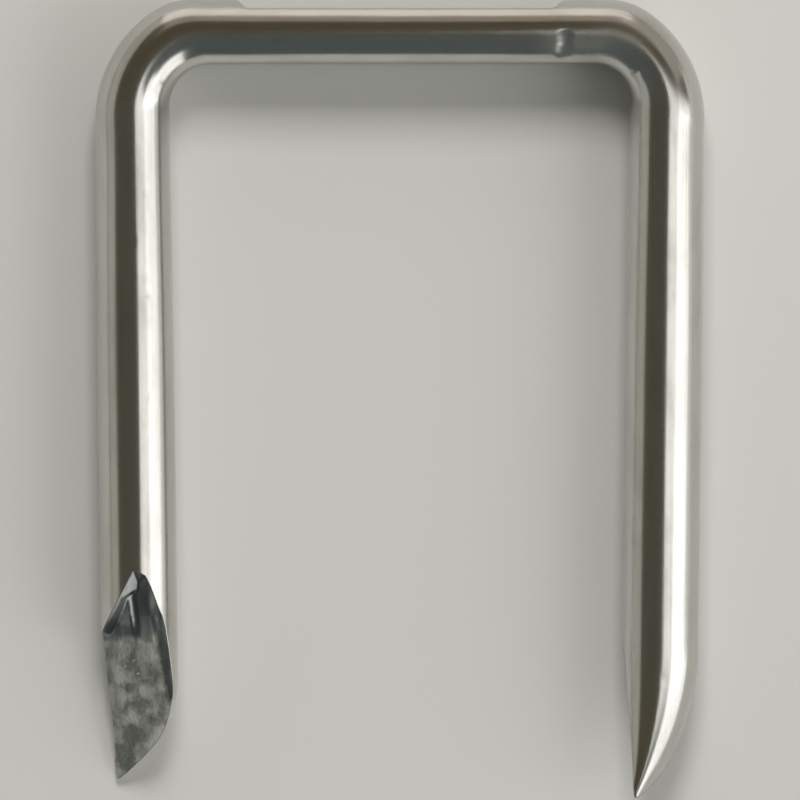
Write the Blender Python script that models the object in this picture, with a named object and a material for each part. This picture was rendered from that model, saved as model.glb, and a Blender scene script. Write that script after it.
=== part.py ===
"""Steel cable staple: one length of round wire bent into a U.

The crown is pressed flat and struck once by the driver, which leaves a shallow flat between two
raised shoulders. Each leg ends in a chisel point made by one slanting shear cut. The two cuts face
opposite ways, so the legs spread apart as they are driven.

The staple lies flat, with the crown towards +Y, the points towards -Y and the cable gap between
the legs. Units are metres. The origin is under the middle of the bounding box.
"""

import math

import bmesh
import bpy
from mathutils import Matrix, Vector

MM = 0.001
NAME = "cable_staple"

# Wire and overall form
WIRE_DIAMETER = 2.38 * MM
INSIDE_WIDTH = 14.32 * MM
LEFT_LENGTH = 24.2 * MM
RIGHT_LENGTH = 24.88 * MM
LEG_LEAN = math.radians(0.75)

# Crown, measured at the shoulders, and the driver's mark across its top
CROWN_THICKNESS = 2.01 * MM
CROWN_FLAT = 0.75 * MM
SHOULDER_LENGTH = 1.15 * MM
STRIKE_DEPTH = 0.28 * MM
STRIKE_LENGTH = 9.56 * MM
STRIKE_END_ANGLE = math.radians(45)

# Bends: the outside is a large arc that a small one joins to the flat shoulder
OUTER_BEND_RADIUS = 4.0 * MM
SHOULDER_RADIUS = 1.5 * MM
SHOULDER_FLATTENING = 0.30 * MM
LEFT_INNER_RADIUS = 1.30 * MM
RIGHT_INNER_RADIUS = 1.12 * MM
BEND_THINNING = 0.08 * MM
THINNED_LENGTH = 8.0 * MM

# Points: the heel is the right flank, which slopes in to the tip
LEFT_HEEL_ANGLE = math.radians(38.9)
RIGHT_HEEL_ANGLE = math.radians(35.8)
LEFT_HEEL_RADIUS = 3.3 * MM
RIGHT_HEEL_RADIUS = 7.9 * MM
LEFT_TIP_WIDTH = 0.77 * MM
RIGHT_TIP_WIDTH = 0.75 * MM

# Points: the shear face. Its rise is where the steep entry gives way to the long slope to the tip,
# and its height there is over the wire's middle. Its upper left edge starts at the left flank, a
# little below the rise, and ends close to the wire's front line at the top of the entry.
LEFT_SHEAR_RISE = 5.03 * MM
RIGHT_SHEAR_RISE = 5.20 * MM
SHEAR_HEIGHT = 0.49 * MM
SHEAR_TILT = math.radians(33.6)
SHEAR_SLOPE = math.radians(13.1)
ENTRY_SLOPE = math.radians(22.6)
ENTRY_LENGTH = 1.42 * MM
ENTRY_OFFSET = 0.15 * MM
EDGE_DROP = 0.48 * MM

# Fineness of the mesh
RING_POINTS = 40
BEND_STEPS = 16
HEEL_STEPS = 14
NECK_STEPS = 5

WIRE_RADIUS = WIRE_DIAMETER / 2
WIRE_AREA = math.pi * WIRE_RADIUS ** 2
NECK_THICKNESS = WIRE_DIAMETER - BEND_THINNING
CUTTER_REACH = 3 * WIRE_DIAMETER


class Leg:
    """One leg: the side it hangs on, and the sizes of its bend and its point."""

    def __init__(self, side, length, inner_radius, heel_angle, heel_radius, tip_width, shear_rise):
        self.side = side
        self.length = length
        self.inner_radius = inner_radius
        self.heel_slope = math.tan(heel_angle)
        self.heel_radius = heel_radius
        self.heel_cosine = math.cos(heel_angle)
        self.heel_tangent = heel_radius * math.tan(heel_angle / 2)
        self.heel_corner = (WIRE_DIAMETER - tip_width) / self.heel_slope
        self.tip_width = tip_width
        self.shear_rise = shear_rise
        # The left leg is sheared on its upper side and the right leg on its under side.
        self.sheared_side = -side

    def place(self, point):
        """A point in the plane of the staple from its distance out from the middle and height."""
        return Vector((self.side * point[0], point[1], 0))


LEFT = Leg(-1, LEFT_LENGTH, LEFT_INNER_RADIUS, LEFT_HEEL_ANGLE, LEFT_HEEL_RADIUS,
           LEFT_TIP_WIDTH, LEFT_SHEAR_RISE)
RIGHT = Leg(1, RIGHT_LENGTH, RIGHT_INNER_RADIUS, RIGHT_HEEL_ANGLE, RIGHT_HEEL_RADIUS,
            RIGHT_TIP_WIDTH, RIGHT_SHEAR_RISE)


def clear_scene():
    for thing in list(bpy.data.objects):
        bpy.data.objects.remove(thing)


def smooth_step(t):
    t = min(max(t, 0.0), 1.0)
    return t * t * (3 - 2 * t)


def spread(thickness, flat=0.0):
    """Half-width of the rounded part of the wire where it is pressed to this thickness.

    The wire keeps the area it was drawn with, so it grows wider as it gets thinner.
    """
    return 2 * (WIRE_AREA - flat * thickness) / (math.pi * thickness)


def oval_ring(outer, inner, bulge, flat=0.0):
    """Points round the wire between two edges of its outline in the plane of the staple.

    It is an oval with a flat along its outer and inner edges. The sides of the ring, and not its
    corners, touch the true oval.
    """
    middle = (outer + inner) / 2
    half_thickness = (outer - inner) / 2
    reach = 1 / math.cos(math.pi / RING_POINTS)
    points = []
    for k in range(RING_POINTS):
        angle = (k + 0.5) * 2 * math.pi / RING_POINTS
        height = math.copysign(flat / 2, math.cos(angle)) + bulge * reach * math.cos(angle)
        points.append(middle + half_thickness * reach * math.sin(angle) + Vector((0, 0, height)))
    return points


def on_arc(centre, radius, angle):
    return centre[0] + radius * math.cos(angle), centre[1] + radius * math.sin(angle)


def inner_bend_centre(leg):
    return INSIDE_WIDTH / 2 - leg.inner_radius, -CROWN_THICKNESS - leg.inner_radius


def outer_bend_point(angle):
    """A point on the outside of the bend, on the small shoulder arc or the large arc."""
    centre = (INSIDE_WIDTH / 2 + NECK_THICKNESS - OUTER_BEND_RADIUS,
              SHOULDER_FLATTENING - OUTER_BEND_RADIUS)
    between_centres = OUTER_BEND_RADIUS - SHOULDER_RADIUS
    join_angle = math.asin((between_centres - SHOULDER_FLATTENING) / between_centres)
    if angle < join_angle:
        return on_arc(centre, OUTER_BEND_RADIUS, angle)
    return on_arc(on_arc(centre, between_centres, join_angle), SHOULDER_RADIUS, angle)


def crown_rings(leg):
    """Rings from the middle of the crown out to where the bend starts."""
    struck = STRIKE_LENGTH / 2 - SHOULDER_LENGTH
    shoulder = STRIKE_LENGTH / 2 + SHOULDER_LENGTH / 2
    rings = []
    for out, pushed_aside in ((struck, STRIKE_DEPTH / 2), (shoulder, 0.0)):
        bulge = spread(CROWN_THICKNESS - pushed_aside, CROWN_FLAT)
        top = leg.place((out, 0))
        underside = leg.place((out, -CROWN_THICKNESS))
        rings.append(oval_ring(top, underside, bulge, CROWN_FLAT))
    return rings


def bend_rings(leg):
    """Rings round the bend, where the crown's flats fade into the round wire of the leg."""
    rings = []
    for k in range(BEND_STEPS + 1):
        turned = k / BEND_STEPS
        angle = math.pi / 2 - (math.pi / 2 + LEG_LEAN) * turned
        outside = leg.place(outer_bend_point(angle))
        inside = leg.place(on_arc(inner_bend_centre(leg), leg.inner_radius, angle))
        flat = CROWN_FLAT * (1 - smooth_step(turned))
        bulge = spread((outside - inside).length, flat)
        rings.append(oval_ring(outside, inside, bulge, flat))
    return rings


def leg_axes(leg):
    """Where the leg's middle line starts at the bend, its way down, and its way to the right."""
    down = Vector((-leg.side * math.sin(LEG_LEAN), -math.cos(LEG_LEAN), 0))
    right = Vector((-down.y, down.x, 0))
    inside = leg.place(on_arc(inner_bend_centre(leg), leg.inner_radius, -LEG_LEAN))
    return inside + right * leg.side * NECK_THICKNESS / 2, down, right


def leg_reach(leg):
    """Length of the leg's middle line, from the bend to the level of the tip."""
    start, down, _ = leg_axes(leg)
    return (-leg.length - start.y) / down.y


def heel_inset(leg, rise):
    """How far the heel lies in from the right flank at a height above the tip."""
    below_start = leg.heel_corner + leg.heel_tangent - rise
    if below_start <= 0:
        return 0.0
    if below_start < leg.heel_tangent * (1 + leg.heel_cosine):
        return leg.heel_radius - math.sqrt(leg.heel_radius ** 2 - below_start ** 2)
    return WIRE_DIAMETER - leg.tip_width - leg.heel_slope * rise


def leg_ring(leg, distance, inset=0.0):
    """A ring round the leg at a distance down it, with its right flank moved in by the inset."""
    start, down, right = leg_axes(leg)
    middle = start + down * distance
    thinned = BEND_THINNING * (1 - smooth_step(distance / THINNED_LENGTH))
    thickness = WIRE_DIAMETER - thinned
    left_flank = middle - right * thickness / 2
    right_flank = middle + right * (thickness / 2 - inset)
    if leg.side > 0:
        return oval_ring(right_flank, left_flank, spread(thickness))
    return oval_ring(left_flank, right_flank, spread(thickness))


def bend_depth(leg):
    """How far down the leg's middle line the outside of the bend ends."""
    start, down, _ = leg_axes(leg)
    return (leg.place(outer_bend_point(-LEG_LEAN)) - start).dot(down)


def neck_distances(leg):
    """Where rings lie along the neck, below the outside of the bend."""
    distances = [THINNED_LENGTH * (k + 0.5) / NECK_STEPS for k in range(NECK_STEPS)]
    return [distance for distance in distances if distance > bend_depth(leg)]


def leg_rings(leg):
    """Rings from the bend down to just past the tip."""
    reach = leg_reach(leg)
    neck = [leg_ring(leg, distance) for distance in neck_distances(leg)]
    heel_start = leg.heel_corner + leg.heel_tangent
    past_tip = leg.tip_width / leg.heel_slope / 4
    heel = []
    for k in range(HEEL_STEPS + 1):
        rise = heel_start - (heel_start + past_tip) * k / HEEL_STEPS
        heel.append(leg_ring(leg, reach - rise, heel_inset(leg, rise)))
    return neck + heel


def loft(name, rings):
    """A closed object through rings that have the same number of points."""
    bm = bmesh.new()
    rows = [[bm.verts.new(point) for point in ring] for ring in rings]
    for row, next_row in zip(rows, rows[1:]):
        for k in range(RING_POINTS):
            after = (k + 1) % RING_POINTS
            bm.faces.new((row[k], row[after], next_row[after], next_row[k]))
    bm.faces.new(rows[0])
    bm.faces.new(rows[-1])
    return mesh_object(name, bm)


def mesh_object(name, bm):
    """An object from a closed bmesh, with its faces turned outwards."""
    bmesh.ops.recalc_face_normals(bm, faces=bm.faces)
    mesh = bpy.data.meshes.new(name)
    bm.to_mesh(mesh)
    bm.free()
    return bpy.data.objects.new(name, mesh)


def driver_cutter():
    """The end of the driver that struck the crown: a block whose end walls slope outwards."""
    bm = bmesh.new()
    bmesh.ops.create_cube(bm, size=1)
    for vert in bm.verts:
        height = CUTTER_REACH * (vert.co.y + 0.5)
        half_length = STRIKE_LENGTH / 2 + height * math.tan(STRIKE_END_ANGLE)
        vert.co.x = math.copysign(half_length, vert.co.x)
        vert.co.y = height - STRIKE_DEPTH
        vert.co.z *= CUTTER_REACH
    return mesh_object("driver_mark", bm)


def shear_block(leg, tilt, slope):
    """A block over the shear face, in the leg's axes: right, up from the tip, and front.

    Its floor starts with a short steep entry and then slopes to the tip, and it tilts down to
    the left.
    """
    top_rise = leg.shear_rise + ENTRY_LENGTH
    low_rise = leg.shear_rise - CUTTER_REACH
    outline = [
        (top_rise, SHEAR_HEIGHT + ENTRY_LENGTH * math.tan(ENTRY_SLOPE)),
        (leg.shear_rise, SHEAR_HEIGHT),
        (low_rise, SHEAR_HEIGHT - CUTTER_REACH * slope),
        (low_rise, 2 * CUTTER_REACH),
        (top_rise, 2 * CUTTER_REACH),
    ]
    left_side = -CUTTER_REACH
    across = 2 * CUTTER_REACH
    bm = bmesh.new()
    side = bm.faces.new([bm.verts.new((left_side, rise, height + left_side * tilt))
                         for rise, height in outline])
    extruded = bmesh.ops.extrude_face_region(bm, geom=[side], use_keep_orig=True)
    moved = [item for item in extruded["geom"] if isinstance(item, bmesh.types.BMVert)]
    bmesh.ops.translate(bm, verts=moved, vec=(across, 0, across * tilt))
    return bm


def trim_at_wall(bm, leg, tilt, slope):
    """End the block at a wall square to its floor, along the upper left edge of the cut."""
    wall_foot = Vector((-WIRE_RADIUS, leg.shear_rise - EDGE_DROP, 0))
    wall_top = Vector((-ENTRY_OFFSET, leg.shear_rise + ENTRY_LENGTH, WIRE_RADIUS))
    floor_normal = Vector((-tilt, -slope, 1))
    wall_normal = (wall_top - wall_foot).cross(floor_normal)
    bmesh.ops.bisect_plane(bm, geom=bm.verts[:] + bm.edges[:] + bm.faces[:], plane_co=wall_foot,
                           plane_no=wall_normal, clear_inner=True)
    bmesh.ops.holes_fill(bm, edges=bm.edges)


def shear_cutter(leg):
    """The space that the shear left at one point, placed at the leg's tip."""
    tilt = math.tan(SHEAR_TILT)
    slope = math.tan(SHEAR_SLOPE)
    bm = shear_block(leg, tilt, slope)
    trim_at_wall(bm, leg, tilt, slope)
    start, down, right = leg_axes(leg)
    tip = start + down * leg_reach(leg)
    front = Vector((0, 0, leg.sheared_side))
    axes = Matrix((right, -down, front)).transposed().to_4x4()
    bmesh.ops.transform(bm, matrix=Matrix.Translation(tip) @ axes, verts=bm.verts)
    return mesh_object("shear_left" if leg.side < 0 else "shear_right", bm)


def cut(target, cutter):
    """Take the cutter away from the target, and let it follow the target."""
    cutter.parent = target
    cutter.hide_render = True
    cutter.display_type = "WIRE"
    boolean = target.modifiers.new(cutter.name, "BOOLEAN")
    boolean.operation = "DIFFERENCE"
    boolean.solver = "EXACT"
    boolean.object = cutter


def zinc_plated_steel():
    material = bpy.data.materials.new("zinc_plated_steel")
    material.use_nodes = True
    shader = material.node_tree.nodes["Principled BSDF"]
    shader.inputs["Base Color"].default_value = (0.62, 0.61, 0.58, 1)
    shader.inputs["Metallic"].default_value = 1.0
    shader.inputs["Roughness"].default_value = 0.22
    return material


def rest_on_origin(thing):
    """Move the object so that the middle of the bottom of its bounding box is the origin."""
    bpy.context.view_layer.update()
    evaluated = thing.evaluated_get(bpy.context.evaluated_depsgraph_get())
    corners = [Vector(corner) for corner in evaluated.bound_box]
    low = Vector(min(corner[axis] for corner in corners) for axis in range(3))
    high = Vector(max(corner[axis] for corner in corners) for axis in range(3))
    thing.location = (-(low.x + high.x) / 2, -(low.y + high.y) / 2, -low.z)


def new_collection(name):
    collection = bpy.data.collections.new(name)
    bpy.context.scene.collection.children.link(collection)
    return collection


def main():
    clear_scene()
    parts = new_collection(NAME)
    cutters = new_collection("cutters")

    left = crown_rings(LEFT) + bend_rings(LEFT) + leg_rings(LEFT)
    right = crown_rings(RIGHT) + bend_rings(RIGHT) + leg_rings(RIGHT)
    staple = loft("staple_wire", left[::-1] + right)
    staple.data.materials.append(zinc_plated_steel())
    parts.objects.link(staple)

    for cutter in (driver_cutter(), shear_cutter(LEFT), shear_cutter(RIGHT)):
        cutters.objects.link(cutter)
        cut(staple, cutter)

    staple.data.shade_smooth()
    staple.data.set_sharp_from_angle(angle=math.radians(30))
    rest_on_origin(staple)


main()
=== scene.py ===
"""The looks of a zinc plated cable staple, on a pale floor under soft studio light.

The staple is one length of drawn wire, so it is one piece. Its fine mesh is lofted from the same
sizes as the part's solid and takes that solid's place in the frame. It adds what the solid leaves
out: the soft edges of the driver's mark, the waviness of the drawn and bent wire, small dents, and
the lip, the step and the torn grain of the sheared points. Places on a leg are counted right of its
middle line, up from its tip and towards its sheared side.
"""

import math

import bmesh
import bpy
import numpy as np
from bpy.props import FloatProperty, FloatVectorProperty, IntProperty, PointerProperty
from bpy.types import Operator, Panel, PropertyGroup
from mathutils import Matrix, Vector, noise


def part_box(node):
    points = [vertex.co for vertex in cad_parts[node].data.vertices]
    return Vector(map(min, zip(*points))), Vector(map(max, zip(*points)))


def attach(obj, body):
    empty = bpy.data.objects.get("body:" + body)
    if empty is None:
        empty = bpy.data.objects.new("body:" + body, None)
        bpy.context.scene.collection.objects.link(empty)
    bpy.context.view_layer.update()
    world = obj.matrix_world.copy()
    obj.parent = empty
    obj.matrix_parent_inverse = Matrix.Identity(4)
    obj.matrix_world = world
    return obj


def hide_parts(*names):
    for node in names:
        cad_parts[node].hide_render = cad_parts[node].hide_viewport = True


bl_info = {
    "name": "Cable staple",
    "version": (1, 0, 0),
    "blender": (4, 5, 0),
    "location": "3D View > Sidebar > Staple",
    "description": "Zinc plated wire staple with sheared points, and its stage",
    "category": "Object",
}

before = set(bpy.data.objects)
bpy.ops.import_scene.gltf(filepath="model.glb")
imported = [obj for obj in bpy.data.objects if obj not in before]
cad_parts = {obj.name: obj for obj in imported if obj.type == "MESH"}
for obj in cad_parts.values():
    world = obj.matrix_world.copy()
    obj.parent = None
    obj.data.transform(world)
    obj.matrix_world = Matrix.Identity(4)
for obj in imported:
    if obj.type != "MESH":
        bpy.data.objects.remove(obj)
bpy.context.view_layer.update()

MM = 0.001
NODE = "staple_wire"
LAMP_DISTANCE = 0.3

# Names of the values that the mesh keeps at each point, for its materials
PLACE = "place_on_wire"
TORN = "torn"
STAIN_AND_PAINTED_LIGHT = "stain_and_painted_light"

# Noise on the wire: wave lengths along it, out from its middle line and up, in millimetres, then
# the seed, and the octaves where there is more than one
SLOW_WAVES = ((7.0, 1.1, 1.1), 3.1)
DRAWN_LINES = ((16.0, 0.32, 0.32), 7.7)
PRESS_MARKS = ((0.9, 0.55, 0.55), 1.3, 2)

# Noise on a cut face, in the same way, with wave lengths across the leg and up it
TORN_GRAIN = ((0.30, 0.36, 1.0), 5.2, 3)
TORN_SWELLS = ((0.60, 0.80, 1.0), 8.6)
DRAG_LINES = ((0.10, 2.2, 1.0), 2.4)


def srgb(code):
    """The linear colour of an sRGB hex code."""
    parts = [int(code[k:k + 2], 16) / 255 for k in (1, 3, 5)]
    return [c / 12.92 if c <= 0.04045 else ((c + 0.055) / 1.055) ** 2.4 for c in parts]


def length(name, description, default, low=0.0):
    """A setting for a length, given in millimetres."""
    return FloatProperty(name=name, description=description, default=default * MM, min=low,
                         unit="LENGTH", precision=5)


def angle(name, description, default):
    """A setting for an angle, given in degrees."""
    return FloatProperty(name=name, description=description, default=math.radians(default),
                         unit="ROTATION")


def colour(name, description, code):
    """A setting for a colour, given as an sRGB hex code."""
    return FloatVectorProperty(name=name, description=description, default=srgb(code),
                               subtype="COLOR", size=3, min=0.0, max=1.0)


def amount(name, description, default, high=1.0):
    """A setting for a plain number."""
    return FloatProperty(name=name, description=description, default=default, min=0.0, max=high)


class StapleSizes(PropertyGroup):
    """Sizes of the bent wire and of the driver's mark on its crown."""

    wire_diameter: length("Wire diameter", "Thickness of the drawn wire", 2.38)
    inside_width: length("Inside width", "Gap between the legs at the bends", 14.32)
    leg_lean: angle("Leg lean", "How far each leg leans in", 0.75)
    crown_thickness: length("Crown thickness", "Thickness that the crown is pressed to", 2.01)
    crown_flat: length("Crown flat", "Width of the flat on the crown's edges", 0.75)
    shoulder_length: length("Shoulder length", "Flat part of each raised shoulder", 1.15)
    strike_depth: length("Strike depth", "How deep the driver's mark is", 0.28)
    strike_length: length("Strike length", "Length of the driver's mark", 9.56)
    strike_end_angle: angle("Strike end angle", "Slope of the ends of the driver's mark", 45)
    strike_fillet: length("Strike fillet", "Roundness of the edges of the driver's mark", 0.07)
    outer_bend_radius: length("Outer bend radius", "Large arc outside each bend", 4.0)
    shoulder_radius: length("Shoulder radius", "Small arc that joins bend and shoulder", 2.2)
    shoulder_flattening: length("Shoulder flattening", "Height lost where the arcs join", 0.30)
    left_inner_radius: length("Left inner radius", "Inside of the left bend", 1.30)
    right_inner_radius: length("Right inner radius", "Inside of the right bend", 1.12)
    bend_thinning: length("Bend thinning", "Thickness lost at the bends", 0.08)
    thinned_length: length("Thinned length", "Length of leg that the thinning fades over", 8.0)
    evening: length("Evening", "How gently the wire's spread changes along it", 1.6)


class PointSizes(PropertyGroup):
    """Sizes of the two sheared points."""

    left_length: length("Left length", "Left leg, from shoulder to tip", 24.2)
    right_length: length("Right length", "Right leg, from shoulder to tip", 24.88)
    left_heel_angle: angle("Left heel angle", "Slope of the left heel at its tip", 38.9)
    right_heel_angle: angle("Right heel angle", "Slope of the right heel at its tip", 35.8)
    left_heel_radius: length("Left heel radius", "Curve at the start of the left heel", 3.3)
    right_heel_radius: length("Right heel radius", "Curve at the start of the right heel", 7.9)
    left_tip_width: length("Left tip width", "Width of the left tip", 0.77)
    right_tip_width: length("Right tip width", "Width of the right tip", 0.75)
    left_shear_rise: length("Left shear rise", "Where the left cut's entry ends", 5.03)
    right_shear_rise: length("Right shear rise", "Where the right cut's entry ends", 5.20)
    shear_height: length("Shear height", "Height of the cut over the wire's middle", 0.49)
    shear_tilt: angle("Shear tilt", "How far the cut leans to the left", 33.6)
    shear_slope: angle("Shear slope", "Slope of the cut towards the tip", 13.1)
    entry_slope: angle("Entry slope", "Slope of the steep start of the cut", 22.6)
    entry_length: length("Entry length", "Length of the steep start of the cut", 1.42)
    entry_offset: length("Entry offset", "How far left of the middle the cut starts", 0.15)
    edge_drop: length("Edge drop", "How far below the rise the cut meets the left flank", 0.48)


class SurfaceSizes(PropertyGroup):
    """Sizes of the small forms on the wire and on its cut faces."""

    ring_points: IntProperty(name="Ring points", description="Mesh points round the wire",
                             default=112, min=16, max=256)
    spacing: length("Spacing", "Distance between mesh rings along the legs", 0.15, 0.02 * MM)
    crown_spacing: length("Crown spacing", "Distance between mesh rings along crown and bends",
                          0.075, 0.02 * MM)
    cut_spacing: length("Cut spacing", "Distance between mesh points on the cuts", 0.045,
                        0.01 * MM)
    waviness: length("Waviness", "Depth of the slow waves along the drawn wire", 0.0035)
    peening: length("Peening", "Depth of the press marks on the crown", 0.0022)
    lip_slope: angle("Lip slope", "Slope of the lip at the top of the cut", 40)
    wall_slope: angle("Wall slope", "Slope of the wall along the cut's upper left edge", 60)
    rim_width: length("Rim width", "Width of the rim over that wall", 0.07)
    step_height: length("Step height", "Height of the step near the start of the cut", 0.21)
    step_width: length("Step width", "Width of the slope of that step", 0.29)
    strip_depth: length("Strip depth", "Depth of the strip along the cut's right edge", 0.10)
    burr_height: length("Burr height", "Height of the burr along the heel", 0.10)
    burr_width: length("Burr width", "Width of that burr", 0.24)
    grain_depth: length("Grain depth", "Depth of the torn grain on the cut faces", 0.014)
    drag_depth: length("Drag depth", "Depth of the drag lines along the cut faces", 0.008)


class FinishColours(PropertyGroup):
    """Colours and gloss of the plated wire and of the bare cut faces."""

    zinc: colour("Zinc", "Bright zinc plate", "#CFCEC9")
    zinc_dull: colour("Dull zinc", "Zinc plate where it is rubbed or stained", "#AFAEA8")
    zinc_roughness: amount("Zinc roughness", "Roughness of the plate", 0.19)
    haze_roughness: amount("Haze roughness", "Roughness where the plate is hazy", 0.48)
    edge_radius: length("Edge radius", "Roundness that light shows along the cut's edges", 0.06)
    steel: colour("Steel", "Steel that the shear has burnished", "#8C9193")
    steel_torn: colour("Torn steel", "Steel that broke away with a rough grain", "#E4E6E2")
    steel_dark: colour("Dark steel", "Hollows and oil left in the torn grain", "#9A9E9A")
    steel_roughness: amount("Steel roughness", "Roughness of the torn steel", 0.5)
    burnish_roughness: amount("Burnish roughness", "Roughness where the shear slid", 0.28)


class StageSettings(PropertyGroup):
    """The floor, the lamps and the camera."""

    floor: colour("Floor", "Pale paper floor", "#E9E8E5")
    view_width: length("View width", "Width of the floor that the camera sees", 24.85)
    view_drop: length("View drop", "How far below the middle the camera looks", 0.044)
    room_warm: colour("Room, warm", "Unlit room beyond the crown", "#564F40")
    room_cool: colour("Room, cool", "Unlit room on the side of the points", "#595E5C")
    key: amount("Key", "Radiance of the soft boxes on the right", 1.4, 20.0)
    right_card: amount("Right card", "Radiance of the low card on the right", 0.65, 20.0)
    corner_card: amount("Corner card", "Radiance of the dim card beyond the right bend", 0.33,
                        20.0)
    warm_card: amount("Warm card", "Radiance of the warm card beyond the crown", 0.9, 20.0)
    warm_fade: amount("Warm fade", "Radiance of the dimmer card above the warm card", 0.252,
                      20.0)
    left_card: amount("Left card", "Radiance of the card on the left", 0.36, 20.0)
    fill: amount("Fill", "Radiance of the lamp that lights the floor but isn't mirrored", 11.0,
                 50.0)


def smooth_step(t):
    """Ease from 0 to 1 while t goes from 0 to 1."""
    t = np.clip(t, 0.0, 1.0)
    return t * t * (3 - 2 * t)


def ramp(value, start, end):
    """Ease from 0 where the value is at the start to 1 where it is at the end."""
    return smooth_step((value - start) / (end - start))


def soft_max(a, b, blend):
    """The higher of two surfaces, with a fillet where they meet."""
    share = np.clip(0.5 + (a - b) / (2 * blend), 0.0, 1.0)
    return b + (a - b) * share + blend * share * (1 - share)


def soft_min(a, b, blend):
    """The lower of two surfaces, with a fillet where they meet."""
    return -soft_max(-a, -b, blend)


def field(points, wave, seed, octaves=1):
    """Smooth noise from -1 to 1 at each point, with a wave length in millimetres for each axis."""
    scaled = points / (np.asarray(wave) * MM) + seed
    if octaves == 1:
        return np.array([noise.noise(Vector(p)) for p in scaled.tolist()])
    return np.array([noise.fractal(Vector(p), 1.0, 2.0, octaves) for p in scaled.tolist()])


class Leg:
    """One leg: the side it hangs on, and the sizes of its bend and of its point."""

    def __init__(self, side, sizes, points):
        name = "left" if side < 0 else "right"
        self.side = side
        self.sizes = sizes
        self.points = points
        self.length = getattr(points, name + "_length")
        self.inner_radius = getattr(sizes, name + "_inner_radius")
        self.heel_radius = getattr(points, name + "_heel_radius")
        self.tip_width = getattr(points, name + "_tip_width")
        self.shear_rise = getattr(points, name + "_shear_rise")
        heel_angle = getattr(points, name + "_heel_angle")
        self.heel_slope = math.tan(heel_angle)
        self.heel_cosine = math.cos(heel_angle)
        self.heel_tangent = self.heel_radius * math.tan(heel_angle / 2)
        self.heel_corner = (sizes.wire_diameter - self.tip_width) / self.heel_slope
        # The left leg is sheared on its upper side and the right leg on its under side.
        self.sheared_side = -side

    def inner_centre(self):
        """Centre of the arc inside the bend."""
        sizes = self.sizes
        return Vector((sizes.inside_width / 2 - self.inner_radius,
                       -sizes.crown_thickness - self.inner_radius))

    def inner_point(self, turn):
        """A point on the inside of the bend."""
        return on_arc(self.inner_centre(), self.inner_radius, turn)

    def outer_point(self, turn):
        """A point on the outside of the bend, on the small shoulder arc or the large arc."""
        sizes = self.sizes
        neck = sizes.wire_diameter - sizes.bend_thinning
        centre = Vector((sizes.inside_width / 2 + neck - sizes.outer_bend_radius,
                         sizes.shoulder_flattening - sizes.outer_bend_radius))
        between = sizes.outer_bend_radius - sizes.shoulder_radius
        join = math.asin((between - sizes.shoulder_flattening) / between)
        if turn < join:
            return on_arc(centre, sizes.outer_bend_radius, turn)
        return on_arc(on_arc(centre, between, join), sizes.shoulder_radius, turn)

    def axes(self):
        """Where the leg's middle line starts, its way down, and its way outwards."""
        lean = self.sizes.leg_lean
        down = Vector((-math.sin(lean), -math.cos(lean)))
        outwards = Vector((-down.y, down.x))
        neck = self.sizes.wire_diameter - self.sizes.bend_thinning
        return self.inner_point(-lean) + outwards * neck / 2, down, outwards

    def reach(self):
        """Length of the leg's middle line, from the bend to the level of the tip."""
        start, down, _ = self.axes()
        return (-self.length - start.y) / down.y

    def heel_inset(self, rise):
        """How far the heel lies in from the right flank at a height above the tip."""
        below_start = self.heel_corner + self.heel_tangent - rise
        if below_start <= 0:
            return 0.0
        if below_start < self.heel_tangent * (1 + self.heel_cosine):
            return self.heel_radius - math.sqrt(self.heel_radius ** 2 - below_start ** 2)
        return self.sizes.wire_diameter - self.tip_width - self.heel_slope * rise

    def tip_frame(self):
        """Matrix of the leg's own axes at its tip: right, up the leg, and the sheared side."""
        start, down, outwards = self.axes()
        tip = start + down * self.reach()
        right = Vector((outwards.x, outwards.y * self.side, 0))
        up = Vector((-down.x * self.side, -down.y, 0))
        front = Vector((0, 0, self.sheared_side))
        turned = Matrix((right, up, front)).transposed().to_4x4()
        return Matrix.Translation((tip.x * self.side, tip.y, 0)) @ turned


def on_arc(centre, radius, turn):
    """The point of an arc that lies at an angle from its centre."""
    return Vector((centre.x + radius * math.cos(turn), centre.y + radius * math.sin(turn)))


def half_width(sizes, thickness, flat=0.0):
    """Half-width of the round part of the wire where it is pressed to this thickness."""
    area = math.pi * (sizes.wire_diameter / 2) ** 2
    return 2 * (area - flat * thickness) / (math.pi * thickness)


def crown_sections(leg, spacing):
    """Sections from beside the middle of the crown out to the end of its shoulder.

    A section is its outer edge, its inner edge, the half-width of its round part and its flat.
    """
    sizes = leg.sizes
    struck = sizes.strike_length / 2 - sizes.shoulder_length
    shoulder = sizes.strike_length / 2 + sizes.shoulder_length / 2
    under = Vector((0, -sizes.crown_thickness))
    count = round(shoulder / spacing)
    sections = []
    for k in range(count + 1):
        out = min(shoulder * (k + 0.5) / count, shoulder)
        fade = 1 - min(max((out - struck) / (shoulder - struck), 0), 1)
        thickness = sizes.crown_thickness - sizes.strike_depth / 2 * fade
        bulge = half_width(sizes, thickness, sizes.crown_flat)
        edge = Vector((out, 0))
        sections.append((edge, edge + under, bulge, sizes.crown_flat))
    return sections


def bend_section(leg, turned):
    """The section at a share of the way round the bend."""
    sizes = leg.sizes
    turn = math.pi / 2 - (math.pi / 2 + sizes.leg_lean) * turned
    outside = leg.outer_point(turn)
    inside = leg.inner_point(turn)
    flat = sizes.crown_flat * (1 - float(smooth_step(turned)))
    thickness = (outside - inside).dot(Vector((math.cos(turn), math.sin(turn))))
    return outside, inside, half_width(sizes, thickness, flat), flat


def sections_between(a, b, steps):
    """The sections that lie between two others, evenly spaced."""
    shares = [(k + 1) / steps for k in range(steps - 1)]
    return [tuple(p + (q - p) * share for p, q in zip(a, b)) for share in shares]


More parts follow.
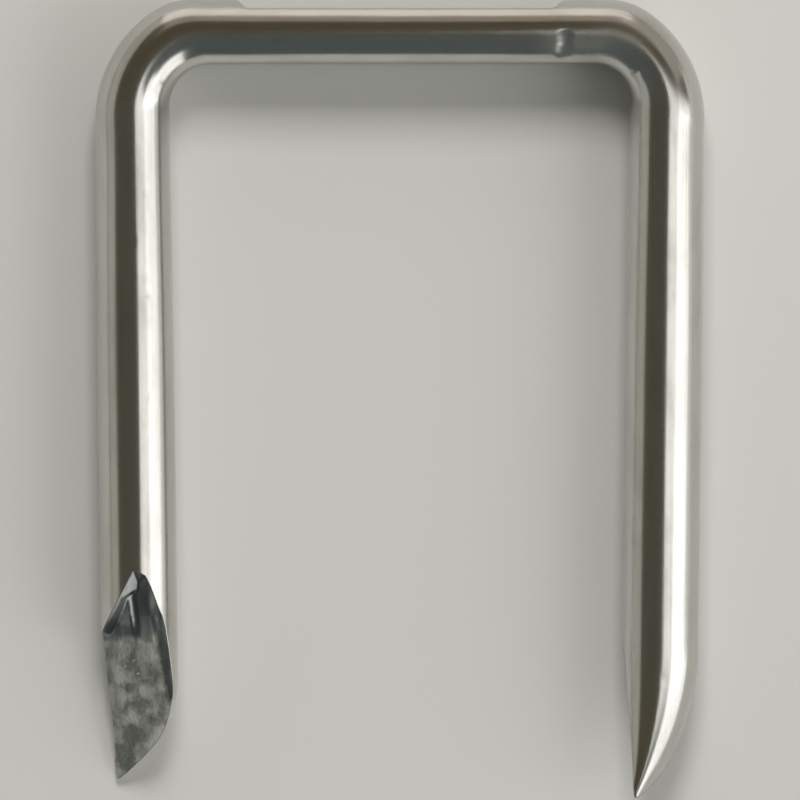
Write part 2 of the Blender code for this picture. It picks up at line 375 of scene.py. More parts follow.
def leg_section(leg, distance, inset=0.0):
    """The section at a distance down the leg, where the heel lies in by the inset."""
    start, down, outwards = leg.axes()
    sizes = leg.sizes
    middle = start + down * distance
    thinned = sizes.bend_thinning * (1 - float(smooth_step(distance / sizes.thinned_length)))
    thickness = sizes.wire_diameter - thinned
    # The heel is the right flank, which is the outer side of the right leg only.
    outer_inset = inset if leg.side > 0 else 0.0
    inner_inset = inset if leg.side < 0 else 0.0
    outside = middle + outwards * (thickness / 2 - outer_inset)
    inside = middle - outwards * (thickness / 2 - inner_inset)
    return outside, inside, half_width(sizes, thickness), 0.0


def leg_sections(leg, surface):
    """Sections from the middle of the crown out along the bend and down to past the tip."""
    spacing = surface.crown_spacing
    sections = crown_sections(leg, spacing)
    first_bend = bend_section(leg, 0.0)
    steps = round((first_bend[0] - sections[-1][0]).length / spacing)
    sections += sections_between(sections[-1], first_bend, steps)

    steps = round(leg.sizes.outer_bend_radius * math.pi / 2 / spacing)
    sections += [bend_section(leg, k / steps) for k in range(steps + 1)]

    # Between the bend and here, the bend's section turns into the leg's.
    neck_start = 0.8 * MM
    first_neck = leg_section(leg, neck_start)
    sections += sections_between(sections[-1], first_neck, round(neck_start / spacing))

    # The wire runs on a little past its tip, where the cut ends it.
    past_tip = leg.tip_width / leg.heel_slope / 4
    reach = leg.reach()
    straight = reach + past_tip - neck_start
    steps = round(straight / surface.spacing)
    for k in range(steps + 1):
        distance = neck_start + straight * k / steps
        sections.append(leg_section(leg, distance, leg.heel_inset(reach - distance)))
    return evened(sections, leg.sizes.evening)


def evened(sections, span):
    """Let the wire's half-width change gently along it."""
    middles = np.array([(outside + inside) / 2 for outside, inside, _, _ in sections])
    steps = np.linalg.norm(np.diff(middles, axis=0), axis=1)
    walked = np.concatenate(([0], np.cumsum(steps)))
    weights = np.exp(-0.5 * np.square((walked[:, None] - walked) / span))
    weights = weights * np.gradient(walked)
    heights = np.array([section[2:] for section in sections])
    heights = weights @ heights / weights.sum(axis=1)[:, None]
    return [(outside, inside, *height.tolist())
            for (outside, inside, _, _), height in zip(sections, heights)]


def ring(section, side, count):
    """Evenly spaced points round one section, in the staple's own axes."""
    outside, inside, bulge, flat = section
    turn = np.radians(np.arange(360) + 0.5)
    across = np.sin(turn)
    height = np.copysign(flat / 2, np.cos(turn)) + bulge * np.cos(turn)
    middle = (outside + inside) / 2
    half = (outside - inside) / 2
    x = side * (middle.x + half.x * across)
    y = middle.y + half.y * across
    loop = np.column_stack((x, y, height))
    loop = np.vstack((loop, loop[:1]))
    walked = np.concatenate(([0], np.cumsum(np.linalg.norm(np.diff(loop, axis=0), axis=1))))
    stops = walked[-1] * (np.arange(count) + 0.5) / count
    return np.column_stack([np.interp(stops, walked, loop[:, axis]) for axis in range(3)])


def loft(name, rings):
    """A closed object through rings that have the same number of points."""
    rows, count = len(rings), len(rings[0])
    here = np.arange(rows * count).reshape(rows, count)
    after = np.roll(here, -1, axis=1)
    quads = np.stack((here[:-1], after[:-1], after[1:], here[1:]), axis=2).reshape(-1, 4)
    faces = quads.tolist() + [here[0][::-1].tolist(), here[-1].tolist()]
    mesh = bpy.data.meshes.new(name)
    mesh.from_pydata(np.vstack(rings).tolist(), [], faces)
    mesh.validate()
    return bpy.data.objects.new(name, mesh)


def coordinates(mesh):
    """A mesh's points, as an array with a row for each."""
    values = np.empty(len(mesh.vertices) * 3)
    mesh.vertices.foreach_get("co", values)
    return values.reshape(-1, 3)


def set_coordinates(mesh, points):
    """Move a mesh's points to the places in an array."""
    mesh.vertices.foreach_set("co", points.ravel())
    mesh.update()


def normals(mesh):
    """The way that a mesh's surface faces at each of its points."""
    values = np.empty(len(mesh.vertices) * 3)
    mesh.vertex_normals.foreach_get("vector", values)
    return values.reshape(-1, 3)


def strike(points, sizes):
    """Press the driver's mark into the crown, with soft edges."""
    beyond = np.abs(points[:, 0]) - sizes.strike_length / 2
    slope = math.tan(math.pi / 2 - sizes.strike_end_angle)
    end = -sizes.strike_depth + beyond * slope
    floor = soft_max(np.full(len(points), -sizes.strike_depth), end, sizes.strike_fillet)
    on_crown = np.abs(points[:, 0]) < sizes.strike_length / 2 + sizes.shoulder_length
    pressed = soft_min(points[:, 1], floor, sizes.strike_fillet / 2)
    points[:, 1] = np.where(on_crown, pressed, points[:, 1])


def straightened(points, sizes):
    """Places on the wire as if it were unbent: along it, out from its middle line, and up."""
    radius = (sizes.left_inner_radius + sizes.right_inner_radius + sizes.wire_diameter) / 2
    inner = radius - sizes.wire_diameter / 2
    centre_x = sizes.inside_width / 2 - inner
    centre_y = -sizes.crown_thickness - inner
    beyond = np.abs(points[:, 0]) - centre_x
    above = points[:, 1] - centre_y
    turn = np.arctan2(np.maximum(beyond, 0), np.maximum(above, 0))
    turn = np.where((beyond <= 0) | (above > 0), turn, math.pi / 2)
    turn = np.where(beyond <= 0, 0.0, turn)
    along = np.minimum(np.abs(points[:, 0]), centre_x) + radius * turn + np.maximum(-above, 0)
    out = np.hypot(np.maximum(beyond, 0), np.maximum(above, 0)) - radius
    along = np.copysign(along, points[:, 0])
    return np.column_stack((along, out, points[:, 2]))


class Dent:
    """A small hollow in the upper side, at a place in the frame, with its width and depth."""

    def __init__(self, x, y, width, depth):
        self.place = np.array((x, y)) * MM
        self.width = width * MM
        self.depth = depth * MM


# Small dents that show on the upper side: x, y, width and depth in millimetres
DENTS = [
    Dent(5.12, 11.18, 0.62, 0.050),
    Dent(5.09, 10.78, 0.70, 0.056),
    Dent(7.26, 10.08, 0.40, 0.020),
    Dent(8.13, -8.65, 0.30, 0.006),
    Dent(-7.94, 6.50, 0.30, 0.007),
    Dent(-7.84, 3.30, 0.34, 0.008),
    Dent(-7.84, 0.10, 0.30, 0.008),
    Dent(-7.80, -1.15, 0.28, 0.007),
    Dent(-8.30, 4.90, 0.35, 0.008),
]


class StainAndPaintedLight:
    """A patch at a place in the frame. It makes plate hazy, and bare steel lighter or darker; some
    of these patches are painted highlights and painted shade.
    """

    def __init__(self, x, y, width, length, tone):
        self.place = np.array((x, y)) * MM
        self.size = np.array((width, length)) * MM
        self.tone = tone


# Haze on the crown, then patches on the left cut face that make the steel lighter or darker: x, y,
# width and length in millimetres, and tone, which is below 0 for darker steel
STAINS_AND_PAINTED_LIGHT = [
    StainAndPaintedLight(6.50, 11.05, 3.60, 1.90, 0.50),
    StainAndPaintedLight(4.95, 11.05, 2.20, 1.40, 0.45),
    StainAndPaintedLight(-8.72, -8.60, 0.38, 0.75, 0.35),
    StainAndPaintedLight(-8.66, -9.35, 0.34, 0.80, 0.25),
    StainAndPaintedLight(-8.45, -9.00, 0.30, 0.40, -0.25),
    StainAndPaintedLight(-7.85, -9.15, 0.60, 0.60, 0.20),
    StainAndPaintedLight(-7.70, -7.75, 0.34, 0.70, 0.15),
    StainAndPaintedLight(-8.30, -8.10, 0.45, 0.55, -0.15),
    StainAndPaintedLight(-8.20, -10.45, 1.10, 0.90, -0.35),
    StainAndPaintedLight(-8.50, -11.15, 0.90, 1.10, -0.30),
    # Painted shade over the dark zone right of the ridge, where the burnished face mirrors the dim
    # room
    StainAndPaintedLight(-7.97, -6.30, 0.80, 2.40, -0.60),
    # Painted highlight: the strip along the cut's right edge mirrors the dim room, and these two
    # patches make its colour lighter instead
    StainAndPaintedLight(-7.70, -6.30, 0.26, 1.00, 0.80),
    StainAndPaintedLight(-7.56, -7.15, 0.30, 1.40, 0.90),
    # Two painted glints on the left cut face
    StainAndPaintedLight(-8.26, -8.14, 0.08, 0.09, 1.20),
    StainAndPaintedLight(-8.14, -8.55, 0.08, 0.09, 1.20),
]


def weather(obj, sizes, surface, offset):
    """Move the wire's surface in and out by its waves, its press marks and its dents."""
    mesh = obj.data
    points = coordinates(mesh)
    place = straightened(points, sizes)
    depth = surface.waviness * (field(place, *SLOW_WAVES) + 0.25 * field(place, *DRAWN_LINES))
    # The press marks fade out where the crown turns into the bends.
    crown = ramp(np.abs(place[:, 0]), 8.0 * MM, 5.5 * MM)
    depth += surface.peening * crown * field(place, *PRESS_MARKS)
    for dent in DENTS:
        gap = np.linalg.norm(points[:, :2] + offset[:2] - dent.place, axis=1) / (dent.width / 2)
        hollow = np.square(np.clip(1 - gap * gap, 0, None))
        depth -= dent.depth * hollow * (points[:, 2] > 0)
    set_coordinates(mesh, points + normals(mesh) * depth[:, None])


def shear_floor(leg, right, rise):
    """Height of the plain cut face: a steep entry, then the long slope to the tip."""
    points = leg.points
    across = points.shear_height + math.tan(points.shear_tilt) * right
    past_rise = rise - leg.shear_rise
    return across + np.maximum(past_rise * math.tan(points.shear_slope),
                               past_rise * math.tan(points.entry_slope))


def edge_strip(leg, right, rise):
    """The narrow strip along the right edge of the cut: its share, and how far it has sunk."""
    width = 0.34 * MM
    blend = 0.05 * MM
    flat_part = 0.45
    depth = wire_top(leg, right) - shear_floor(leg, right, rise)
    span = ramp(rise, leg.shear_rise + 0.4 * MM, leg.shear_rise - 0.5 * MM)
    span = span * ramp(rise, 2.2 * MM, 2.6 * MM) * (right > 0)
    share = ramp(depth, width + blend, width - blend) * span
    falling = span * np.clip(1 - depth / width, 0, 1)
    return share, flat_part * share + (1 - flat_part) * falling


def torn_share(leg, right, rise):
    """How torn the cut face is, from 0 where the shear slid over it to 1 where it broke."""
    # The steel broke below a level line, which climbs near the right edge.
    level = leg.shear_rise - 0.66 * MM
    edge = level + 1.8 * np.clip(right - 0.42 * MM, 0, 0.8 * MM)
    blend = 0.15 * MM
    torn = ramp(rise, edge + blend, edge - blend)
    # Left of the step the steel was dragged and is half dull.
    dragged = ramp(right, -0.22 * MM, -0.34 * MM)
    dragged = dragged * ramp(rise, leg.shear_rise - 0.30 * MM, leg.shear_rise - 0.05 * MM)
    torn = np.maximum(torn, 0.5 * dragged)
    # The strip along the right edge is a quarter as torn as what lies beside it.
    return torn * (1 - 0.75 * edge_strip(leg, right, rise)[0])


def burr(gap, width):
    """Share of a burr's height at a distance from the edge that it stands on."""
    return np.square(np.clip(1 - gap / width, 0, 1))


def wire_top(leg, right):
    """Height of the round wire's front over its middle, away from the middle line."""
    radius = leg.sizes.wire_diameter / 2
    return np.sqrt(np.maximum(radius ** 2 - np.square(right), 0))


def lip_height(leg, surface, right, rise):
    """Height of what falls to the right from the cut's straight upper left edge.

    At the top it is a lip with an easy slope, and lower down a steep wall, which ends at its foot.
    """
    points = leg.points
    foot = np.array((-leg.sizes.wire_diameter / 2, leg.shear_rise - points.edge_drop))
    top = np.array((-points.entry_offset, leg.shear_rise + points.entry_length))
    way = (top - foot) / np.linalg.norm(top - foot)
    left = np.array((-way[1], way[0]))
    beyond = (right - foot[0]) * left[0] + (rise - foot[1]) * left[1]
    along = (right - foot[0]) * way[0] + (rise - foot[1]) * way[1]
    # The lip's lower end runs down to the right, so it is met further along there.
    lip_lean = 1.48
    on_lip = ramp(along + lip_lean * beyond, 1.11 * MM, 1.25 * MM)
    rim = surface.rim_width + on_lip * leg.sizes.wire_diameter
    edge = wire_top(leg, right - beyond * left[0])
    eased = np.maximum(beyond, -rim) * math.tan(surface.lip_slope)
    wall = np.minimum(beyond + rim, 0) * math.tan(surface.wall_slope)
    foot_slope = 3
    past_foot = foot_slope * np.maximum(0.06 * MM - along, 0)
    return edge + eased + wall - past_foot


def shear_surface(leg, surface, right, rise):
    """Height of the cut face with its lip, its step and its torn grain."""
    seam = 0.02 * MM
    floor = shear_floor(leg, right, rise)
    # The cut starts at nothing, along a line that falls to the right. It is never deeper than the
    # distance from there allows.
    start_fall = 0.42
    steepest = 0.9
    from_start = leg.shear_rise + leg.points.entry_length - rise
    from_start = from_start - start_fall * np.maximum(right + leg.points.entry_offset, 0)
    floor = soft_max(floor, wire_top(leg, right) - seam - steepest * from_start, seam)

    # The step leans to the left. It is sharp along its top and fades out below.
    step_lean = 0.125
    step_line = -0.075 * MM - step_lean * (rise - leg.shear_rise + 0.48 * MM)
    raised = np.square(np.clip((step_line - right) / surface.step_width + 0.6, 0, 1))
    raised = raised * ramp(rise, leg.shear_rise - 0.95 * MM, leg.shear_rise - 0.05 * MM)
    floor = floor + surface.step_height * raised

    # A narrow strip along the right edge was drawn down before the wire broke. Below it a burr
    # stands up along the heel.
    floor = floor - surface.strip_depth * edge_strip(leg, right, rise)[1]
    radius = leg.sizes.wire_diameter / 2
    heel = radius - np.array([leg.heel_inset(r) for r in rise.tolist()])
    at_heel = ramp(rise, 2.1 * MM, 1.8 * MM) * ramp(rise, 0.1 * MM, 0.6 * MM)
    floor = floor + surface.burr_height * at_heel * burr(heel - right, surface.burr_width)

    # Some grain also shows where the shear slid, and the torn steel keeps some drag lines.
    spots = np.column_stack((right, rise, np.zeros(len(right))))
    torn = torn_share(leg, right, rise)
    swells = 2.5 * torn * field(spots, *TORN_SWELLS)
    grain = (0.12 + 0.88 * torn) * field(spots, *TORN_GRAIN)
    floor = floor + surface.grain_depth * (swells + grain)
    floor = floor + surface.drag_depth * (1 - 0.6 * torn) * field(spots, *DRAG_LINES)
    return soft_max(floor, lip_height(leg, surface, right, rise), seam)


def shear_cutter(leg, surface):
    """The space over one cut face, as a closed block placed at the leg's tip.

    It reaches past the wire on both sides and above, past the tip, and past the start of the cut.
    """
    diameter = leg.sizes.wire_diameter
    half = 0.62 * diameter
    low = -0.35 * diameter
    high = leg.shear_rise + leg.points.entry_length + 0.25 * diameter
    columns = round(2 * half / surface.cut_spacing) + 1
    rows = round((high - low) / surface.cut_spacing) + 1
    right, rise = np.meshgrid(np.linspace(-half, half, columns), np.linspace(low, high, rows))
    height = shear_surface(leg, surface, right.ravel(), rise.ravel())
    floor = np.column_stack((right.ravel(), rise.ravel(), height))

    index = np.arange(rows * columns).reshape(rows, columns)
    quads = np.stack((index[:-1, :-1], index[1:, :-1], index[1:, 1:], index[:-1, 1:]), axis=2)
    border = np.concatenate((index[0, :-1], index[:-1, -1], index[-1, :0:-1], index[:0:-1, 0]))
    lid = floor[border].copy()
    lid[:, 2] = 1.5 * diameter
    over = rows * columns + np.arange(len(border))
    walls = np.stack((border, np.roll(border, -1), np.roll(over, -1), over), axis=1)
    faces = quads.reshape(-1, 4).tolist() + walls.tolist() + [over.tolist()]

    name = "shear_left" if leg.side < 0 else "shear_right"
    mesh = bpy.data.meshes.new(name)
    mesh.from_pydata(np.vstack((floor, lid)).tolist(), [], faces)
    mesh.transform(leg.tip_frame())
    mesh.validate()
    turn_outwards(mesh)
    mesh.polygons.foreach_set("material_index", [1] * len(mesh.polygons))
    return bpy.data.objects.new(name, mesh)


def turn_outwards(mesh):
    """Turn a closed mesh's faces outwards."""
    bm = bmesh.new()
    bm.from_mesh(mesh)
    bmesh.ops.recalc_face_normals(bm, faces=bm.faces)
    bm.to_mesh(mesh)
    bm.free()


def cut(target, cutters):
    """Take the cutters away from the target, and leave the result as its plain mesh."""
    for cutter in cutters:
        bpy.context.scene.collection.objects.link(cutter)
        boolean = target.modifiers.new(cutter.name, "BOOLEAN")
        boolean.operation = "DIFFERENCE"
        boolean.solver = "EXACT"
        boolean.material_mode = "INDEX"
        boolean.object = cutter
    evaluated = target.evaluated_get(bpy.context.evaluated_depsgraph_get())
    result = bpy.data.meshes.new_from_object(evaluated)
    target.modifiers.clear()
    spent = target.data
    target.data = result
    result.name = target.name
    bpy.data.meshes.remove(spent)
    for cutter in cutters:
        bpy.data.objects.remove(cutter)


def crease_cut_edges(mesh):
    """Shade everything smooth except where a cut face meets the drawn wire."""
    mesh.shade_smooth()
    slots = {}
    for face in mesh.polygons:
        for key in face.edge_keys:
            slots.setdefault(key, set()).add(face.material_index)
    for edge in mesh.edges:
        edge.use_edge_sharp = len(slots[edge.key]) > 1


def store_places(mesh, sizes, legs, offset):
    """Keep each point's place on the unbent wire, how torn the cut face is, and its stains, haze
    and painted light and shade.
    """
    points = coordinates(mesh)
    place = mesh.attributes.new(PLACE, "FLOAT_VECTOR", "POINT")
    place.data.foreach_set("vector", (straightened(points, sizes) / MM).ravel())
    torn = np.zeros(len(points))
    for leg in legs:
        inverse = np.array(leg.tip_frame().inverted())
        local = points @ inverse[:3, :3].T + inverse[:3, 3]
        near = (points[:, 0] * leg.side > 0) & (local[:, 1] < leg.shear_rise + 2 * MM)
        torn = np.where(near, torn_share(leg, local[:, 0], local[:, 1]), torn)
    mesh.attributes.new(TORN, "FLOAT", "POINT").data.foreach_set("value", torn)
    tone = np.zeros(len(points))
    for stain_and_painted_light in STAINS_AND_PAINTED_LIGHT:
        gap = (points[:, :2] + offset[:2] - stain_and_painted_light.place) / (stain_and_painted_light.size / 2)
        tone += stain_and_painted_light.tone * np.square(np.clip(1 - np.square(gap).sum(axis=1), 0, None))
    mesh.attributes.new(STAIN_AND_PAINTED_LIGHT, "FLOAT", "POINT").data.foreach_set("value", tone)


def add_node(tree, kind, inputs=None, **settings):
    """Add a node, with its settings and what its sockets hold or are linked to."""
    node = tree.nodes.new(kind)
    for name, value in settings.items():
        setattr(node, name, value)
    for name, value in (inputs or {}).items():
        if isinstance(value, bpy.types.NodeSocket):
            tree.links.new(value, node.inputs[name])
        else:
            node.inputs[name].default_value = value
    return node


def new_material(name):
    """A material without nodes, and its node tree."""
    material = bpy.data.materials.new(name)
    material.use_nodes = True
    material.node_tree.nodes.clear()
    return material, material.node_tree


def bright_zinc_plate_on_drawn_wire(finish):
    """Electroplated zinc over drawn steel: a bright, slightly warm mirror with lines along it."""
    material, tree = new_material("bright_zinc_plate_on_drawn_wire")
    place = add_node(tree, "ShaderNodeAttribute", attribute_name=PLACE)
    haze = add_node(tree, "ShaderNodeAttribute", attribute_name=STAIN_AND_PAINTED_LIGHT)
    along = place.outputs["Vector"]

    # The die leaves lines a few micrometres apart. They are drawn 0.05 mm apart, so that they show.
    lines_place = add_node(tree, "ShaderNodeVectorMath",
                           {0: along, 1: (0.10, 1 / 0.05, 1 / 0.05)}, operation="MULTIPLY")
    lines = add_node(tree, "ShaderNodeTexNoise",
                     {"Vector": lines_place.outputs[0], "Scale": 1.0, "Detail": 3.0})
    # Stains and rubbed patches of a few millimetres, longer along the wire than across it
    patch_place = add_node(tree, "ShaderNodeVectorMath",
                           {0: along, 1: (0.45, 1.1, 1.1)}, operation="MULTIPLY")
    patches = add_node(tree, "ShaderNodeTexNoise",
                       {"Vector": patch_place.outputs[0], "Scale": 1.0, "Detail": 4.0,
                        "Roughness": 0.6})
    # The plate's own grain is drawn 0.03 mm wide
    grain_place = add_node(tree, "ShaderNodeVectorMath",
                           {0: along, 1: (1 / 0.06, 1 / 0.03, 1 / 0.03)}, operation="MULTIPLY")
    grain = add_node(tree, "ShaderNodeTexNoise",
                     {"Vector": grain_place.outputs[0], "Scale": 1.0, "Detail": 2.0})

    dull = add_node(tree, "ShaderNodeMapRange",
                    {"Value": patches.outputs["Fac"], "From Min": 0.45, "From Max": 0.85,
                     "To Max": 0.6})
    tone = add_node(tree, "ShaderNodeMix",
                    {"Factor": dull.outputs["Result"], "A": (*finish.zinc, 1),
                     "B": (*finish.zinc_dull, 1)}, data_type="RGBA")
    streak = add_node(tree, "ShaderNodeMapRange",
                      {"Value": lines.outputs["Fac"], "From Min": 0.3, "From Max": 0.7,
                       "To Min": 0.93, "To Max": 1.03})
    base = add_node(tree, "ShaderNodeVectorMath",
                    {0: tone.outputs["Result"], 1: streak.outputs["Result"]},
                    operation="MULTIPLY")
    gloss = add_node(tree, "ShaderNodeMapRange",
                     {"Value": patches.outputs["Fac"], "From Min": 0.3, "From Max": 0.75,
                      "To Min": finish.zinc_roughness * 0.9,
                      "To Max": finish.zinc_roughness * 1.15})
    rough = add_node(tree, "ShaderNodeMapRange",
                     {"Value": haze.outputs["Fac"], "To Min": gloss.outputs["Result"],
                      "To Max": finish.haze_roughness})
    edges = add_node(tree, "ShaderNodeBevel", {"Radius": finish.edge_radius}, samples=6)
    line_bump = add_node(tree, "ShaderNodeBump",
                         {"Height": lines.outputs["Fac"], "Strength": 0.35,
                          "Distance": 0.0025 * MM, "Normal": edges.outputs["Normal"]})
    bump = add_node(tree, "ShaderNodeBump",
                    {"Height": grain.outputs["Fac"], "Strength": 0.3, "Distance": 0.0012 * MM,
                     "Normal": line_bump.outputs["Normal"]})
    shader = add_node(tree, "ShaderNodeBsdfPrincipled",
                      {"Base Color": base.outputs[0], "Roughness": rough.outputs["Result"],
                       "Metallic": 1.0, "Normal": bump.outputs["Normal"]})
    add_node(tree, "ShaderNodeOutputMaterial", {"Surface": shader.outputs["BSDF"]})
    return material


def sheared_bare_steel(finish):
    """Steel cut in one stroke: burnished where the blade slid, then torn with a dull grain."""
    material, tree = new_material("sheared_bare_steel")
    place = add_node(tree, "ShaderNodeAttribute", attribute_name=PLACE)
    torn = add_node(tree, "ShaderNodeAttribute", attribute_name=TORN)
    stain_and_painted_light = add_node(tree, "ShaderNodeAttribute", attribute_name=STAIN_AND_PAINTED_LIGHT)

    # Torn facets about 0.12 mm wide, and hollows about 0.5 mm wide that hold oil and dirt
    facets = add_node(tree, "ShaderNodeTexNoise",
                      {"Vector": place.outputs["Vector"], "Scale": 1 / 0.12, "Detail": 4.0,
                       "Roughness": 0.65})
    hollows = add_node(tree, "ShaderNodeTexNoise",
                       {"Vector": place.outputs["Vector"], "Scale": 1 / 0.5, "Detail": 3.0})
    # The blade's drag lines are drawn 0.06 mm apart
    drag_place = add_node(tree, "ShaderNodeVectorMath",
                          {0: place.outputs["Vector"], 1: (0.4, 1 / 0.06, 1 / 0.06)},
                          operation="MULTIPLY")
    drag = add_node(tree, "ShaderNodeTexNoise",
                    {"Vector": drag_place.outputs[0], "Scale": 1.0, "Detail": 2.0})

    mixed = add_node(tree, "ShaderNodeMix",
                     {"Factor": 0.35, "A": hollows.outputs["Fac"], "B": facets.outputs["Fac"]})
    # The patches' tone also moves the torn grain between its dark and light steel, so the painted
    # highlights and painted shade show on torn parts too
    stained = add_node(tree, "ShaderNodeMath",
                       {0: mixed.outputs["Result"], 1: stain_and_painted_light.outputs["Fac"]}, operation="ADD")
    dark = add_node(tree, "ShaderNodeMapRange",
                    {"Value": stained.outputs[0], "From Min": 0.40, "From Max": 0.63})
    rough_tone = add_node(tree, "ShaderNodeMix",
                          {"Factor": dark.outputs["Result"], "A": (*finish.steel_dark, 1),
                           "B": (*finish.steel_torn, 1)}, data_type="RGBA")
    # The patches' tone lightens or darkens the burnished steel: along the cut's right edge and in
    # two specks it is a painted highlight, beside the ridge painted shade, and elsewhere a lighter
    # or darker patch of steel
    light = add_node(tree, "ShaderNodeMath", {0: stain_and_painted_light.outputs["Fac"], 1: 1.0}, operation="ADD")
    burnished = add_node(tree, "ShaderNodeVectorMath",
                         {0: finish.steel, 1: light.outputs[0]}, operation="MULTIPLY")
    tone = add_node(tree, "ShaderNodeMix",
                    {"Factor": torn.outputs["Fac"], "A": burnished.outputs[0],
                     "B": rough_tone.outputs["Result"]}, data_type="RGBA")
    torn_rough = add_node(tree, "ShaderNodeMapRange",
                          {"Value": facets.outputs["Fac"], "From Min": 0.3, "From Max": 0.7,
                           "To Min": finish.steel_roughness * 0.7,
                           "To Max": finish.steel_roughness * 1.2})
    rough = add_node(tree, "ShaderNodeMapRange",
                     {"Value": torn.outputs["Fac"], "To Min": finish.burnish_roughness,
                      "To Max": torn_rough.outputs["Result"]})
    edges = add_node(tree, "ShaderNodeBevel", {"Radius": finish.edge_radius}, samples=6)
    drag_bump = add_node(tree, "ShaderNodeBump",
                         {"Height": drag.outputs["Fac"], "Strength": 0.6,
                          "Distance": 0.006 * MM, "Normal": edges.outputs["Normal"]})
    bump = add_node(tree, "ShaderNodeBump",
                    {"Height": facets.outputs["Fac"], "Strength": torn.outputs["Fac"],
                     "Distance": 0.03 * MM, "Normal": drag_bump.outputs["Normal"]})
    shader = add_node(tree, "ShaderNodeBsdfPrincipled",
                      {"Base Color": tone.outputs["Result"], "Roughness": rough.outputs["Result"],
                       "Metallic": 1.0, "Normal": bump.outputs["Normal"]})
    add_node(tree, "ShaderNodeOutputMaterial", {"Surface": shader.outputs["BSDF"]})
    return material


def matt_paper(stage):
    """Matt white paper: pale and without gloss, so it only carries the staple's shadow."""
    material, tree = new_material("matt_paper")
    shader = add_node(tree, "ShaderNodeBsdfPrincipled",
                      {"Base Color": (*stage.floor, 1), "Roughness": 0.9,
                       "Specular IOR Level": 0.2})
    add_node(tree, "ShaderNodeOutputMaterial", {"Surface": shader.outputs["BSDF"]})
    return material


class STAPLE_OT_wire(Operator):
    """Make the staple's wire, with its cut points, and let it take the place of the plain solid"""

    bl_idname = "staple.make_wire"
    bl_label = "Make the staple"

    def execute(self, context):
        scene = context.scene
        sizes, points, surface = scene.staple_sizes, scene.staple_points, scene.staple_surface
        legs = [Leg(-1, sizes, points), Leg(1, sizes, points)]
        rings = []
        for leg in legs:
            rows = [ring(section, leg.side, surface.ring_points)
                    for section in leg_sections(leg, surface)]
            rings += rows[::-1] if leg.side < 0 else rows
        wire = loft("staple", rings)
        low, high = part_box(NODE)
        offset = Vector(((low.x + high.x) / 2, high.y, (low.z + high.z) / 2))
        shape = coordinates(wire.data)
        strike(shape, sizes)
        set_coordinates(wire.data, shape)
        turn_outwards(wire.data)
        weather(wire, sizes, surface, np.array(offset))
        scene.collection.objects.link(wire)

        wire.data.materials.append(bright_zinc_plate_on_drawn_wire(scene.staple_finish))
        wire.data.materials.append(sheared_bare_steel(scene.staple_finish))
        cut(wire, [shear_cutter(leg, surface) for leg in legs])
        crease_cut_edges(wire.data)
        store_places(wire.data, sizes, legs, np.array(offset))
        wire.data.transform(Matrix.Translation(offset))
        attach(wire, "root")
        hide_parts(NODE)
        return {"FINISHED"}


def soft_box(name, azimuth, low, high, spread, radiance, tint, shown=True):
    """A soft box that stands beside the staple and faces it.

    Its azimuth is counted from +X towards +Y. It fills the angles above the floor from low to
    high, and spread to each side. All are in degrees.
    """
    turn = math.radians(azimuth)
    lift = math.radians((low + high) / 2)
    way = Vector((math.cos(turn) * math.cos(lift), math.sin(turn) * math.cos(lift),
                  math.sin(lift)))
    light = bpy.data.lights.new(name, "AREA")
    light.shape = "RECTANGLE"
    light.size = 2 * LAMP_DISTANCE * math.cos(lift) * math.tan(math.radians(spread))
    light.size_y = 2 * LAMP_DISTANCE * math.tan(math.radians((high - low) / 2))
    light.energy = radiance * math.pi * light.size * light.size_y
    light.color = tint
    lamp = bpy.data.objects.new(name, light)
    lamp.location = way * LAMP_DISTANCE
    lamp.rotation_euler = (-way).to_track_quat("-Z", "Y").to_euler()
    lamp.visible_camera = False
    lamp.visible_glossy = shown
    bpy.context.scene.collection.objects.link(lamp)


def dim_room(stage):
    """The unlit room: brownish beyond the crown, blue-grey on the side of the points."""
    world = bpy.data.worlds.new("dim_room")
    world.use_nodes = True
    tree = world.node_tree
    tree.nodes.clear()
    way = add_node(tree, "ShaderNodeTexCoord")
    parts = add_node(tree, "ShaderNodeSeparateXYZ", {"Vector": way.outputs["Generated"]})
    share = add_node(tree, "ShaderNodeMapRange",
                     {"Value": parts.outputs["Y"], "From Min": -0.35, "From Max": 0.15})
    tone = add_node(tree, "ShaderNodeMix",
                    {"Factor": share.outputs["Result"], "A": (*stage.room_cool, 1),
                     "B": (*stage.room_warm, 1)}, data_type="RGBA")
    background = add_node(tree, "ShaderNodeBackground", {"Color": tone.outputs["Result"]})
    add_node(tree, "ShaderNodeOutputWorld", {"Surface": background.outputs["Background"]})
    return world


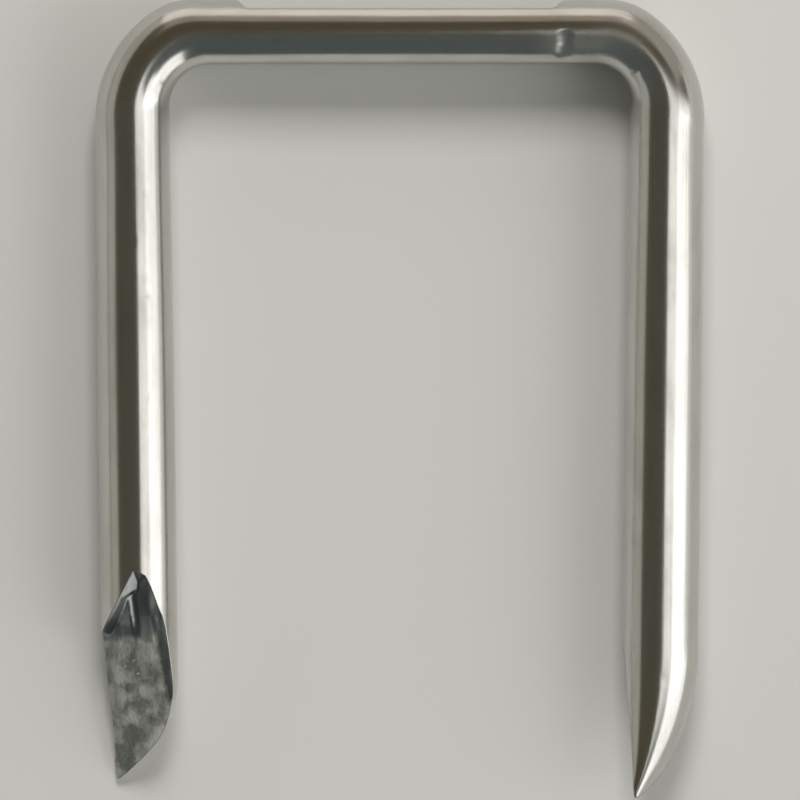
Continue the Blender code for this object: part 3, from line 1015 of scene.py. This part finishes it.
class STAPLE_OT_stage(Operator):
    """Make the pale floor, the soft boxes, the dim room and the camera"""

    bl_idname = "staple.make_stage"
    bl_label = "Make the stage"

    def execute(self, context):
        scene = context.scene
        stage = scene.staple_stage
        half = 1.5
        corners = [(-half, -half, 0), (half, -half, 0), (half, half, 0), (-half, half, 0)]
        mesh = bpy.data.meshes.new("floor")
        mesh.from_pydata(corners, [], [(0, 1, 2, 3)])
        mesh.materials.append(matt_paper(stage))
        floor = bpy.data.objects.new("floor", mesh)
        scene.collection.objects.link(floor)

        key_tint = (1, 0.995, 0.98)
        soft_box("key", -1, 14, 52, 9, stage.key, key_tint)
        soft_box("high_key", -1, 52, 82, 14, stage.key, key_tint)
        soft_box("side_key", -15, 1, 54, 12, stage.key, key_tint)
        soft_box("low_key", -45, 1, 43, 18, stage.key, key_tint)
        soft_box("right_card", 8, 1, 13, 15, stage.right_card, (1, 0.99, 0.97))
        soft_box("corner_card", 43, 2, 46, 23, stage.corner_card, (1.0, 0.94, 0.88))
        soft_box("warm_card", 93, 1, 31, 29, stage.warm_card, (1.0, 0.92, 0.86))
        soft_box("warm_fade", 93, 31, 52, 31, stage.warm_fade, (1.0, 0.90, 0.80))
        soft_box("left_card", 168, 2, 29, 46, stage.left_card, (1.0, 0.98, 0.90))
        soft_box("fill", 90, 38, 58, 14, stage.fill, (1, 1, 1), shown=False)

        scene.world = dim_room(stage)

        camera_data = bpy.data.cameras.new("camera")
        distance = 0.6
        camera_data.clip_start = 0.05
        camera_data.clip_end = 10.0
        camera_data.lens = camera_data.sensor_width * distance / stage.view_width
        camera = bpy.data.objects.new("camera", camera_data)
        low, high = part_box(NODE)
        camera.location = (0, -stage.view_drop, (low.z + high.z) / 2 + distance)
        scene.collection.objects.link(camera)
        scene.camera = camera
        scene.view_settings.view_transform = "Standard"
        return {"FINISHED"}


class STAPLE_PT_panel(Panel):
    """Settings and buttons for the staple and its stage."""

    bl_idname = "STAPLE_PT_panel"
    bl_label = "Cable staple"
    bl_space_type = "VIEW_3D"
    bl_region_type = "UI"
    bl_category = "Staple"

    def draw(self, context):
        for name, group in GROUPS.items():
            box = self.layout.box()
            box.label(text=group.__doc__)
            for key in group.__annotations__:
                box.prop(getattr(context.scene, name), key)
        for operator in OPERATORS:
            self.layout.operator(operator.bl_idname)


GROUPS = {
    "staple_sizes": StapleSizes,
    "staple_points": PointSizes,
    "staple_surface": SurfaceSizes,
    "staple_finish": FinishColours,
    "staple_stage": StageSettings,
}
OPERATORS = (STAPLE_OT_wire, STAPLE_OT_stage)


def register():
    for name, group in GROUPS.items():
        bpy.utils.register_class(group)
        setattr(bpy.types.Scene, name, PointerProperty(type=group))
    for operator in OPERATORS:
        bpy.utils.register_class(operator)
    bpy.utils.register_class(STAPLE_PT_panel)


def unregister():
    bpy.utils.unregister_class(STAPLE_PT_panel)
    for operator in reversed(OPERATORS):
        bpy.utils.unregister_class(operator)
    for name, group in reversed(GROUPS.items()):
        delattr(bpy.types.Scene, name)
        bpy.utils.unregister_class(group)


def main():
    register()
    bpy.ops.staple.make_wire()
    bpy.ops.staple.make_stage()


if __name__ == "__main__":
    main()
